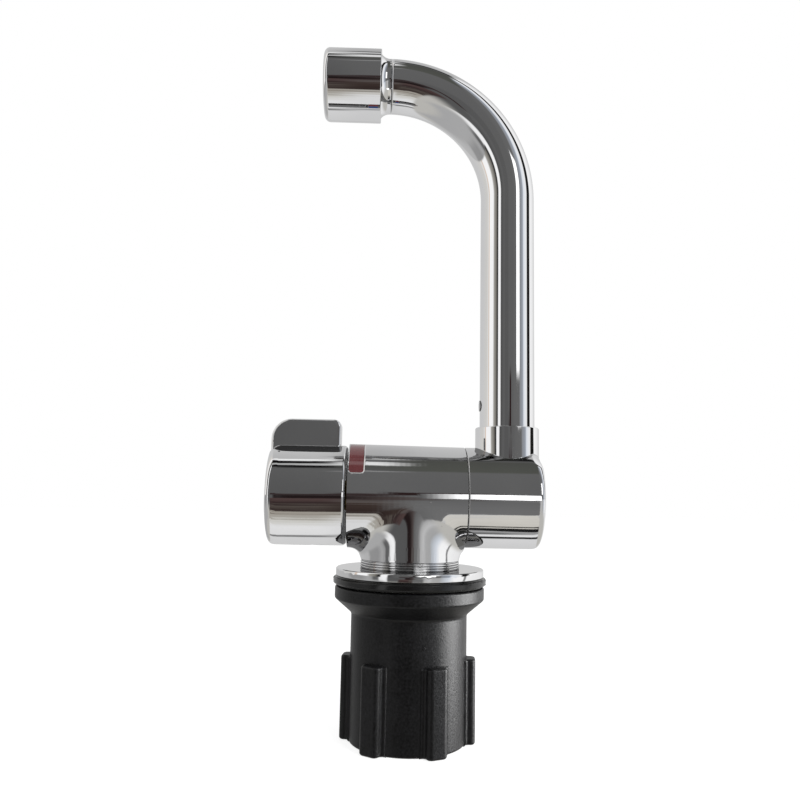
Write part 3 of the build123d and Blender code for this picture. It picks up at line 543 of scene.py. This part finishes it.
def threadedShank():
    # one pitch of the thread's outline, screwed down the shank, with a plain tube under it
    bm = bmesh.new()
    turns = int((thread["top"] - thread["bottom"]) / thread["pitch"]) + 2
    start = thread["bottom"] - thread["pitch"]
    depth = thread["crest"] - thread["root"]
    verts = [bm.verts.new(((thread["root"] + rise * depth) * mm, 0, (start + along * thread["pitch"]) * mm))
             for along, rise in thread["outline"]]
    edges = [bm.edges.new(pair) for pair in zip(verts, verts[1:])]
    steps = turns * thread["stepsPerTurn"]
    bmesh.ops.spin(bm, geom=verts + edges, cent=(0, 0, 0), axis=zAxis, angle=2 * pi * turns, steps=steps,
                   dvec=(0, 0, turns * thread["pitch"] * mm / steps))
    bmesh.ops.remove_doubles(bm, verts=bm.verts, dist=0.01 * mm)
    for height, side in ((thread["bottom"], -1), (thread["top"], 1)):
        raised = bmesh.ops.extrude_edge_only(bm, edges=cutOff(bm, height, side))["geom"]
        for vert in picked(raised, BMVert):
            vert.co.xy = vert.co.xy.normalized() * ((thread["root"] - thread["endDip"]) * mm)
    bmesh.ops.recalc_face_normals(bm, faces=bm.faces)
    core = thread["root"] - thread["coreGap"]
    absorb(bm, spunShell(((thread["low"], thread["bore"], 0), (thread["low"], core, 0.4),
                          (thread["high"], core, 0), (thread["high"], thread["bore"], 0)),
                         Vector((0, 0, 0)), zAxis, xAxis, steps=128))
    return bm


standFor("threadedShankPiece", threadedShank(), "threaded_shank", 28)
print("threaded shank made")

nozzle = {"neckStart": -9.8, "neckEnd": -13.4, "tubeRadius": 9.5, "rimRadius": 11.0, "threadRadius": 10.2,
          "threadEnd": -19.4, "bore": 7.0, "front": -34.1, "radius": 12.8, "wall": 11.2, "lipRadius": 9.8,
          "lip": 1.6, "frontRounding": 2.0, "backEdge": 0.3, "threadGap": 0.1,
          "flare": (0, 0.1, 0.2, 0.3, 0.4, 0.5, 0.6, 0.7, 0.8, 0.88, 0.94, 1), "flarePower": 2.6}
outletCentre = Vector((0, 0, tube["outletHeight"] * mm))


def nozzleNeck():
    start, end, threadEnd = -nozzle["neckStart"], -nozzle["neckEnd"], -nozzle["threadEnd"]
    rise, run = nozzle["rimRadius"] - nozzle["tubeRadius"], end - start
    flare = [(start + run * share, nozzle["tubeRadius"] + rise * share ** nozzle["flarePower"], 0)
             for share in nozzle["flare"]]
    return spunShell(((start, nozzle["bore"], 0), *flare, (end, nozzle["threadRadius"], 0),
                      (threadEnd, nozzle["threadRadius"], 0), (threadEnd, nozzle["bore"], 0)),
                     outletCentre, -xAxis, zAxis)


def aeratorHousing():
    back, front, threadEnd = -nozzle["neckEnd"], -nozzle["front"], -nozzle["threadEnd"]
    inner = nozzle["threadRadius"] + nozzle["threadGap"]
    return spunShell(((back, inner, 0), (back, nozzle["radius"], nozzle["backEdge"]),
                      (front, nozzle["radius"], nozzle["frontRounding"]), (front, nozzle["lipRadius"], 0.4),
                      (front - nozzle["lip"], nozzle["lipRadius"], 0.2),
                      (front - nozzle["lip"], nozzle["wall"], 0), (threadEnd, nozzle["wall"], 0),
                      (threadEnd, inner, 0)), outletCentre, -xAxis, zAxis)


evened(standFor("nozzleNeckPiece", nozzleNeck(), "nozzle_neck", 40))
evened(standFor("aeratorHousingPiece", aeratorHousing(), "aerator_housing", 35))
print("nozzle made")

# focal length and picture width in pixels of the photo, angles in radians, place and sensor in mm
camera = {"focal": 760.85, "picture": 800, "sensor": 36, "pitch": 0.1252, "yaw": 0.0220, "roll": 0.0188,
          "place": (-10.19, -264.40, 29.77)}


def addCamera():
    pitch, yaw, roll = camera["pitch"], camera["yaw"], camera["roll"]
    ahead = Vector((sin(yaw) * cos(pitch), cos(yaw) * cos(pitch), sin(pitch)))
    right = Vector((cos(yaw), -sin(yaw), 0))
    up = right.cross(ahead)
    rolledRight = cos(roll) * right + sin(roll) * up
    rolledUp = -sin(roll) * right + cos(roll) * up
    data = bpy.data.cameras.new("photoCamera")
    data.sensor_width = camera["sensor"]
    data.lens = camera["sensor"] * camera["focal"] / camera["picture"]
    data.clip_start = 0.01
    holder = bpy.data.objects.new("photoCamera", data)
    turn = Matrix((rolledRight, rolledUp, -ahead)).transposed().to_4x4()
    holder.matrix_world = Matrix.Translation(Vector(camera["place"]) * mm) @ turn
    scene.collection.objects.link(holder)
    scene.camera = holder


addCamera()


def grey(value):
    return (value, value, value)


# what the chrome sees. The first three run over the tap in the plane of its sideways arms, in degrees up
# from straight ahead of the tap, for its left, middle and right. The other two run round the horizon.
leftBands = [
    (-180, grey(0.62)), (-114, grey(0.70)), (-111, grey(0.20)), (-107, grey(0.22)), (-104, grey(0.78)),
    (-78, grey(0.82)), (-60, (0.62, 0.61, 0.57)), (-57, (0.40, 0.38, 0.34)), (-54, (0.42, 0.40, 0.36)),
    (-40, (0.34, 0.31, 0.27)), (-37, (0.03, 0.02, 0.018)), (-26, (0.09, 0.075, 0.065)),
    (-22, (0.03, 0.02, 0.02)), (-8, (0.085, 0.055, 0.052)), (-3, (0.03, 0.02, 0.02)),
    (1.5, (0.035, 0.022, 0.022)), (2.5, grey(0.10)), (60, grey(0.115)), (64, grey(0.10)),
    (65, grey(0.006)), (69, grey(0.006)), (71, grey(0.5)), (74, grey(0.5)), (75.5, grey(0.004)),
    (83, grey(0.006)), (85, grey(1.0)), (88, grey(0.9)), (90, grey(0.50)), (110, grey(0.54)),
    (140, grey(0.62)), (180, grey(0.62)),
]
middleBands = [
    (-180, grey(0.62)), (-110, grey(0.66)), (-104, grey(0.30)), (-100, grey(0.75)), (-60, grey(0.75)),
    (-48, (0.55, 0.53, 0.49)), (-40, (0.30, 0.28, 0.25)), (-36, (0.03, 0.02, 0.018)),
    (-20, (0.05, 0.035, 0.03)), (-14, (0.10, 0.085, 0.08)), (-4, (0.03, 0.02, 0.02)),
    (3, (0.04, 0.028, 0.028)), (5, grey(0.12)), (54, grey(0.125)), (56, grey(0.35)), (58, grey(0.10)),
    (70, (0.075, 0.077, 0.07)), (73, grey(0.85)), (81, grey(0.7)), (83, grey(0.05)), (88, grey(0.22)),
    (92, grey(0.9)), (95, grey(0.03)), (99, grey(0.08)), (101, grey(0.42)), (140, grey(0.52)),
    (180, grey(0.62)),
]
rightBands = [
    (-180, grey(0.60)), (-106, grey(0.72)), (-103, grey(0.01)), (-98, grey(0.01)), (-96, grey(0.85)),
    (-90, grey(0.75)), (-87, grey(0.10)), (-82, grey(0.45)), (-79, grey(0.01)), (-70, grey(0.01)),
    (-67, (0.60, 0.58, 0.53)), (-46, (0.66, 0.64, 0.59)), (-40, grey(0.55)), (-37, grey(0.17)),
    (-6, grey(0.135)), (3, grey(0.12)), (57, grey(0.125)), (60, (0.085, 0.088, 0.078)),
    (88, (0.075, 0.077, 0.07)), (92, grey(0.11)), (96, grey(0.01)), (100, grey(0.012)), (103, grey(0.5)),
    (180, grey(0.62)),
]
horizonBands = [
    (-180, grey(0.58)), (-130, grey(0.62)), (-104, (0.66, 0.65, 0.62)), (-96, grey(0.80)),
    (-94, (0.72, 0.60, 0.50)), (-91, (0.72, 0.60, 0.50)), (-89, grey(1.0)), (-71, grey(1.0)),
    (-66, (0.38, 0.37, 0.34)), (-56, (0.20, 0.19, 0.17)), (-51, grey(0.02)), (-48, grey(0.02)),
    (-46, grey(1.0)), (-37, grey(1.0)), (-35, grey(0.06)), (-31, grey(0.09)), (-24, grey(0.115)),
    (44, grey(0.14)), (47, (0.26, 0.27, 0.29)), (60, (0.34, 0.37, 0.42)), (66, (0.80, 0.84, 0.90)),
    (82, grey(0.92)), (85, grey(0.01)), (100, grey(0.01)), (103, grey(1.0)), (125, grey(0.9)),
    (150, grey(0.66)), (180, grey(0.58)),
]
# the same horizon a little lower, which the stem and its foot see
stemBands = [
    (-180, grey(0.55)), (-112, grey(0.48)), (-104, grey(0.31)), (-80, grey(0.30)), (-68, grey(0.40)),
    (-62, grey(0.33)), (-58, grey(0.12)), (-51, grey(0.14)), (-48, grey(0.9)), (-40, grey(1.0)),
    (-37, grey(0.85)), (-35, grey(0.10)), (-10, grey(0.095)), (-8, (0.016, 0.010, 0.010)),
    (-2, (0.018, 0.012, 0.012)), (3, (0.07, 0.055, 0.052)), (7, grey(0.13)), (16, grey(0.19)),
    (22, grey(0.44)), (28, grey(0.54)), (34, grey(0.42)), (44, grey(0.40)), (50, (0.50, 0.53, 0.57)),
    (60, (0.70, 0.74, 0.80)), (70, grey(1.0)), (88, grey(1.0)), (90, grey(0.25)), (93, grey(0.25)),
    (95, grey(0.95)), (140, grey(0.85)), (180, grey(0.6)),
]
# bright or dark shapes in that room: azimuth range, elevation range, softness, colour
studioShapes = [
    (2, 8.5, 2.5, 8.5, 0.8, (0.025, 0.014, 0.014)),
    (31, 45, 8.5, 32, 0.8, grey(1.5)),
    (-150, -42, -50, -16, 7, grey(0.42)),
]
# from, to and softness of the zones where one set of bands takes over from another. The first three go by the
# share of the direction that points aside, the last by the degrees of the arms' bands, the others by elevation
bandZones = {
    "middle": (-0.055, 2, 0.03), "right": (0.045, 2, 0.035), "arms": (-0.31, 0.31, 0.03),
    "lowHorizon": (-95, -1.3, 1), "stemOnly": (-8.5, -1.3, 1), "ground": (-90, -24, 12),
    "streaks": (-84, -16, 9),
}


def buildWorld():
    world = bpy.data.worlds.new("studioWorld")
    scene.world = world
    world.use_nodes = True
    tree = world.node_tree
    tree.nodes.clear()
    make, link = tree.nodes.new, tree.links.new
    ray = make("ShaderNodeTexCoord").outputs["Generated"]
    parts = make("ShaderNodeSeparateXYZ")
    link(ray, parts.inputs["Vector"])

    def math(operation, first, second=None):
        node = make("ShaderNodeMath")
        node.operation = operation
        for place, value in enumerate((first, second)):
            if value is None:
                continue
            if isinstance(value, (int, float)):
                node.inputs[place].default_value = value
            else:
                link(value, node.inputs[place])
        return node.outputs["Value"]

    def degreesOf(angle):
        return math("MULTIPLY", angle, 180 / pi)

    def ramped(stops, degrees):
        share = math("DIVIDE", math("ADD", degrees, 180), 360)
        return rampNode(tree, share, [((degree + 180) / 360, colour) for degree, colour in stops])

    def between(value, low, high, soft):
        # 1 between low and high, falling to 0 over soft
        return math("MULTIPLY", rangeNode(tree, value, low - soft, low + soft, smooth=True),
                    rangeNode(tree, value, high + soft, high - soft, smooth=True))

    def mixed(factor, first, second):
        node = make("ShaderNodeMix")
        node.data_type = "RGBA"
        link(factor, node.inputs["Factor"])
        for socket, value in (("A", first), ("B", second)):
            if isinstance(value, tuple):
                node.inputs[socket].default_value = (*value, 1)
            else:
                link(value, node.inputs[socket])
        return node.outputs["Result"]

    def swing(vector, scale, detail, degrees):
        # a noise that swings about 0
        node = make("ShaderNodeTexNoise")
        setInputs(node, {"Scale": scale, "Detail": detail})
        link(vector, node.inputs["Vector"])
        return math("MULTIPLY", math("SUBTRACT", node.outputs["Fac"], 0.5), degrees)

    side, ahead, up = (parts.outputs[axis] for axis in "XYZ")
    forward = math("MULTIPLY", ahead, -1.0)
    overhead = math("ADD", degreesOf(math("ARCTAN2", up, forward)), swing(ray, 5.0, 4, 7.0))
    stretch = make("ShaderNodeMapping")     # long streaks low in the arms' bands
    stretch.inputs["Scale"].default_value = (2.5, 22, 22)
    link(ray, stretch.inputs["Vector"])
    streaks = swing(stretch.outputs["Vector"], 1.0, 2, 34.0)
    overhead = math("ADD", overhead, math("MULTIPLY", streaks, between(overhead, *bandZones["streaks"])))
    azimuth = degreesOf(math("ARCTAN2", side, forward))
    elevation = degreesOf(math("ARCSINE", up))
    armBands = mixed(between(side, *bandZones["middle"]), ramped(leftBands, overhead),
                     ramped(middleBands, overhead))
    armBands = mixed(between(side, *bandZones["right"]), armBands, ramped(rightBands, overhead))
    horizon = mixed(between(elevation, *bandZones["lowHorizon"]), ramped(horizonBands, azimuth),
                    ramped(stemBands, azimuth))
    horizon = mixed(between(elevation, *bandZones["ground"]), horizon, (0.52, 0.51, 0.48))
    offStem = math("SUBTRACT", 1.0, between(elevation, *bandZones["stemOnly"]))
    seen = mixed(math("MULTIPLY", between(side, *bandZones["arms"]), offStem), horizon, armBands)
    for lowAzimuth, highAzimuth, lowElevation, highElevation, soft, colour in studioShapes:
        inside = math("MULTIPLY", between(azimuth, lowAzimuth, highAzimuth, soft),
                      between(elevation, lowElevation, highElevation, soft))
        seen = mixed(inside, seen, colour)
    path = make("ShaderNodeLightPath")
    white, fill, bands = (make("ShaderNodeBackground") for _ in range(3))
    setInputs(white, {"Color": (1, 1, 1, 1), "Strength": 1.0})
    setInputs(fill, {"Color": (1, 1, 1, 1), "Strength": 0.55})
    link(seen, bands.inputs["Color"])
    # painted shade: the room's bands drop to 0.3 strength where they are seen after two or more mirror
    # bounces, so chrome seen in chrome is darker than the room
    link(rangeNode(tree, path.outputs["Glossy Depth"], 1.0, 2.0, 1.0, 0.3), bands.inputs["Strength"])
    around = mixedShader(tree, path.outputs["Is Glossy Ray"], fill.outputs["Background"],
                         bands.outputs["Background"])
    surface = mixedShader(tree, path.outputs["Is Camera Ray"], around, white.outputs["Background"])
    link(surface, make("ShaderNodeOutputWorld").inputs["Surface"])


def addFloor():
    # pale paint that keeps the shadow, glows for the camera and is clear in reflections
    bm = bmesh.new()
    bmesh.ops.create_grid(bm, x_segments=1, y_segments=1, size=3.0,
                          matrix=Matrix.Translation((0, 0, cadLow.z - 0.0001)))
    floor = objectFrom("paleFloor", bm)
    material, tree = emptyMaterial("paleFloorPaint")
    make, link = tree.nodes.new, tree.links.new
    path, paint, glow, unlit, both, clear = (make("ShaderNode" + kind) for kind in (
        "LightPath", "BsdfDiffuse", "Emission", "Emission", "AddShader", "BsdfTransparent"))
    paint.inputs["Color"].default_value = (0.45, 0.45, 0.45, 1)
    glow.inputs["Strength"].default_value = 0.78
    unlit.inputs["Strength"].default_value = 0.0
    onlySeen = mixedShader(tree, path.outputs["Is Camera Ray"], unlit.outputs["Emission"],
                           glow.outputs["Emission"])
    link(paint.outputs["BSDF"], both.inputs[0])
    link(onlySeen, both.inputs[1])
    surface = mixedShader(tree, path.outputs["Is Glossy Ray"], both.outputs["Shader"], clear.outputs["BSDF"])
    link(surface, make("ShaderNodeOutputMaterial").inputs["Surface"])
    floor.data.materials.append(material)


def addCard(name, centre, width, height, strength, fade):
    # a glowing card in front of the tap, seen only in reflections, brighter towards its right
    bm = bmesh.new()
    bmesh.ops.create_grid(bm, x_segments=24, y_segments=1, size=0.5,
                          matrix=Matrix.Translation(Vector(centre) * mm) @ Matrix.Rotation(pi / 2, 4, "X")
                          @ Matrix.Diagonal((width * mm, height * mm, 1, 1)))
    card = objectFrom(name, bm)
    card.visible_camera = card.visible_diffuse = card.visible_shadow = False
    material, tree = emptyMaterial(name + "Glow")
    make, link = tree.nodes.new, tree.links.new
    glow, parts = make("ShaderNodeEmission"), make("ShaderNodeSeparateXYZ")
    link(make("ShaderNodeTexCoord").outputs["Object"], parts.inputs["Vector"])
    left = centre[0] - width / 2
    rise = rangeNode(tree, parts.outputs["X"], left * mm, (left + fade) * mm, 0.1, strength, smooth=True)
    link(rise, glow.inputs["Strength"])
    link(glow.outputs["Emission"], make("ShaderNodeOutputMaterial").inputs["Surface"])
    card.data.materials.append(material)


def addLamp(name, place, aim, size, power, only=None):
    # with only, the lamp lights one piece, so that the chrome round it keeps its own bands
    data = bpy.data.lights.new(name, "AREA")
    data.shape = "DISK"
    data.size = size
    data.energy = power
    lamp = bpy.data.objects.new(name, data)
    lamp.location = place
    lamp.rotation_euler = (Vector(aim) - Vector(place)).to_track_quat("-Z", "Y").to_euler()
    lamp.visible_glossy = only is not None
    scene.collection.objects.link(lamp)
    if only:
        lit = bpy.data.collections.new(name + "Lights")
        lit.objects.link(only)
        lamp.light_linking.receiver_collection = lit


buildWorld()
addFloor()
addCard("lowWindow", (75, -190, 34), width=120, height=34, strength=1.6, fade=34)
addLamp("keyLamp", (0.5, -0.5, 0.6), (0, 0, 0.03), size=0.6, power=6.0)
addLamp("fillLamp", (-0.6, -0.4, 0.3), (0, 0, 0.03), size=0.6, power=1.5)
addLamp("nutSideLamp", (0.45, -0.02, 0.04), (0, 0, -0.03), size=0.4, power=5.0,
        only=bpy.data.objects["handNut"])
scene.view_settings.view_transform = "Standard"
print("studio ready")
